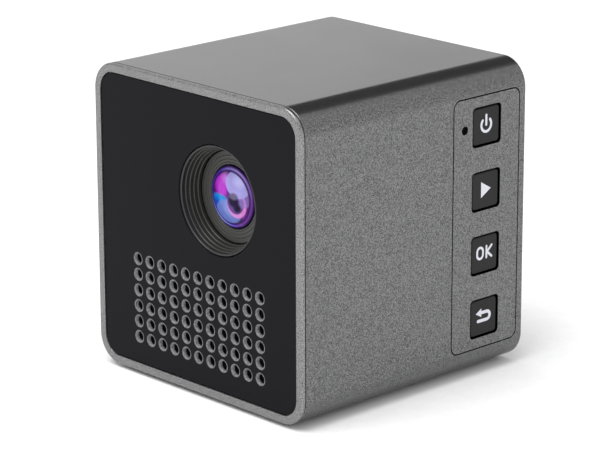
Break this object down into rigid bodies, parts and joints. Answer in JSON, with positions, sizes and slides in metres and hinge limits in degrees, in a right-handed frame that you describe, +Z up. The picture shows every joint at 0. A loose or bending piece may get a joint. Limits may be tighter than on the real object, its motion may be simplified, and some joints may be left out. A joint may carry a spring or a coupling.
{
  "type": "pocket projector",
  "caption": "Cube-shaped pocket LED projector with a grey sleeve, black front panel, lens, speaker grille, side keys, focus wheel and tripod socket.",
  "frame": {"origin": "under the middle of the casing, in the plane that the base pad rests on", "axes": "+X towards the key side, -Y out of the projection lens, +Z up"},
  "size_m": [0.0486, 0.049, 0.0506],
  "materials": {
    "grey_paint": "fine textured metallic paint",
    "black_gloss": "semi-gloss",
    "dark_plastic": "fine matt moulded",
    "key_plastic": "satin, with printed symbols",
    "clear_plastic": "translucent",
    "rubber": "matt",
    "brass": "turned",
    "steel": "plated",
    "aluminium": "as cast and milled",
    "coated_glass": "polished, purple anti-reflection coating",
    "clear_glass": "polished",
    "circuit_board": "solder mask",
    "amber_film": "flexible printed film",
    "foil": "pouch film",
    "red_emitter": "moulded emitter",
    "green_emitter": "moulded emitter",
    "blue_emitter": "moulded emitter",
    "cloth": "fine black mesh"
  },
  "bodies": {
    "housing": {"sleeve": "grey_paint", "front_bezel": "grey_paint", "key_plate": "grey_paint", "front_panel": "black_gloss", "lens_trim": "dark_plastic", "lens_mount": "dark_plastic", "rear_cover": "dark_plastic", "fan_frame": "dark_plastic", "speaker_frame": "dark_plastic", "audio_jack": "dark_plastic", "processor": "dark_plastic", "status_lens": "clear_plastic", "base_pad": "rubber", "tripod_nut": "brass", "dial_axle": "steel", "power_switch": "steel", "play_switch": "steel", "ok_switch": "steel", "back_switch": "steel", "usb_socket": "steel", "hdmi_socket": "steel", "dmd_chip": "steel", "speaker_magnet": "steel", "screw_upper_right": "steel", "screw_upper_left": "steel", "screw_lower_right": "steel", "screw_lower_left": "steel", "tir_prism": "clear_glass", "fly_eye_lens": "clear_glass", "dichroic_front": "clear_glass", "dichroic_rear": "clear_glass", "engine_base": "aluminium", "engine_lid": "aluminium", "heat_sink": "aluminium", "chassis": "aluminium", "dmd_board": "circuit_board", "main_board": "circuit_board", "key_board": "circuit_board", "key_flex": "amber_film", "battery": "foil", "red_led": "red_emitter", "green_led": "green_emitter", "blue_led": "blue_emitter", "speaker_mesh": "cloth"},
    "focus_wheel": {"focus_dial": "dark_plastic"},
    "focus_gear": {"focus_ring": "dark_plastic"},
    "lens_group": {"lens_cell": "dark_plastic", "front_element": "coated_glass", "middle_element": "coated_glass", "rear_element": "coated_glass"},
    "fan_wheel": {"fan_rotor": "dark_plastic"},
    "speaker_diaphragm": {"speaker_cone": "cloth"},
    "power_button": {"power_key": "key_plastic", "power_plunger": "clear_plastic"},
    "play_button": {"play_key": "key_plastic", "play_plunger": "clear_plastic"},
    "ok_button": {"ok_key": "key_plastic", "ok_plunger": "clear_plastic"},
    "back_button": {"back_key": "key_plastic", "back_plunger": "clear_plastic"}
  },
  "joints": [
    {"name": "power_press", "type": "slide", "parent": "housing", "child": "power_button", "axis": [-1, 0, 0], "range_m": [0, 0.00035], "stiffness_N_per_m": 800, "springref_m": -0.001},
    {"name": "play_press", "type": "slide", "parent": "housing", "child": "play_button", "axis": [-1, 0, 0], "range_m": [0, 0.00035], "stiffness_N_per_m": 800, "springref_m": -0.001},
    {"name": "ok_press", "type": "slide", "parent": "housing", "child": "ok_button", "axis": [-1, 0, 0], "range_m": [0, 0.00035], "stiffness_N_per_m": 800, "springref_m": -0.001},
    {"name": "back_press", "type": "slide", "parent": "housing", "child": "back_button", "axis": [-1, 0, 0], "range_m": [0, 0.00035], "stiffness_N_per_m": 800, "springref_m": -0.001},
    {"name": "focus_turn", "type": "hinge", "parent": "housing", "child": "focus_wheel", "pos_m": [-0.01413, -0.01625, 0.033], "axis": [0, 1, 0], "range_deg": [-60, 60]},
    {"name": "focus_ring_turn", "type": "hinge", "parent": "housing", "child": "focus_gear", "pos_m": [0.00477, -0.01625, 0.033], "axis": [0, 1, 0], "range_deg": [-66, 66]},
    {"name": "lens_slide", "type": "slide", "parent": "housing", "child": "lens_group", "axis": [0, -1, 0], "range_m": [-0.0006, 0.0006]},
    {"name": "fan_spin", "type": "hinge", "parent": "housing", "child": "fan_wheel", "pos_m": [-0.005, 0.0188, 0.0364], "axis": [0, 1, 0], "continuous": true},
    {"name": "diaphragm_move", "type": "slide", "parent": "housing", "child": "speaker_diaphragm", "axis": [0, -1, 0], "range_m": [-0.0003, 0.0003], "stiffness_N_per_m": 1000}
  ],
  "couplings": [
    {"joint": "focus_turn", "follows": "lens_slide", "rad_per_m": 1730.9},
    {"joint": "focus_ring_turn", "follows": "lens_slide", "rad_per_m": -1904}
  ]
}
